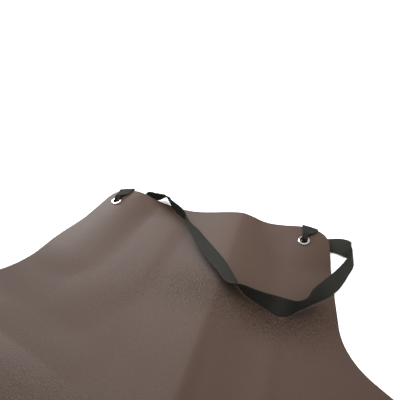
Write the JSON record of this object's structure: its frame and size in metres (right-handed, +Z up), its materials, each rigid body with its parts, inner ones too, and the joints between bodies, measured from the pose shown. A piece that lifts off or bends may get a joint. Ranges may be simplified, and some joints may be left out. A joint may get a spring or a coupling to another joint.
{
  "type": "faux leather apron",
  "caption": "Bib work apron cut from one brown faux leather sheet, laid flat, with metal eyelets and a black tape neck strap looped over the bib.",
  "frame": {"origin": "on the surface the apron lies on, under the middle of its box", "axes": "+Z up from the surface, +Y from the hem towards the bib's top edge, +X to the viewer's right with the grain side up"},
  "size_m": [0.65, 0.9126, 0.0273],
  "materials": {
    "faux_leather": "pebble grained polyurethane, satin",
    "tape": "woven, matt",
    "nickel": "bright nickel plate"
  },
  "bodies": {
    "root": {"apron_sheet": "faux_leather", "neck_strap": "tape", "eyelet_bib_left": "nickel", "eyelet_bib_right": "nickel", "eyelet_waist_left": "nickel", "eyelet_waist_right": "nickel"}
  },
  "joints": []
}
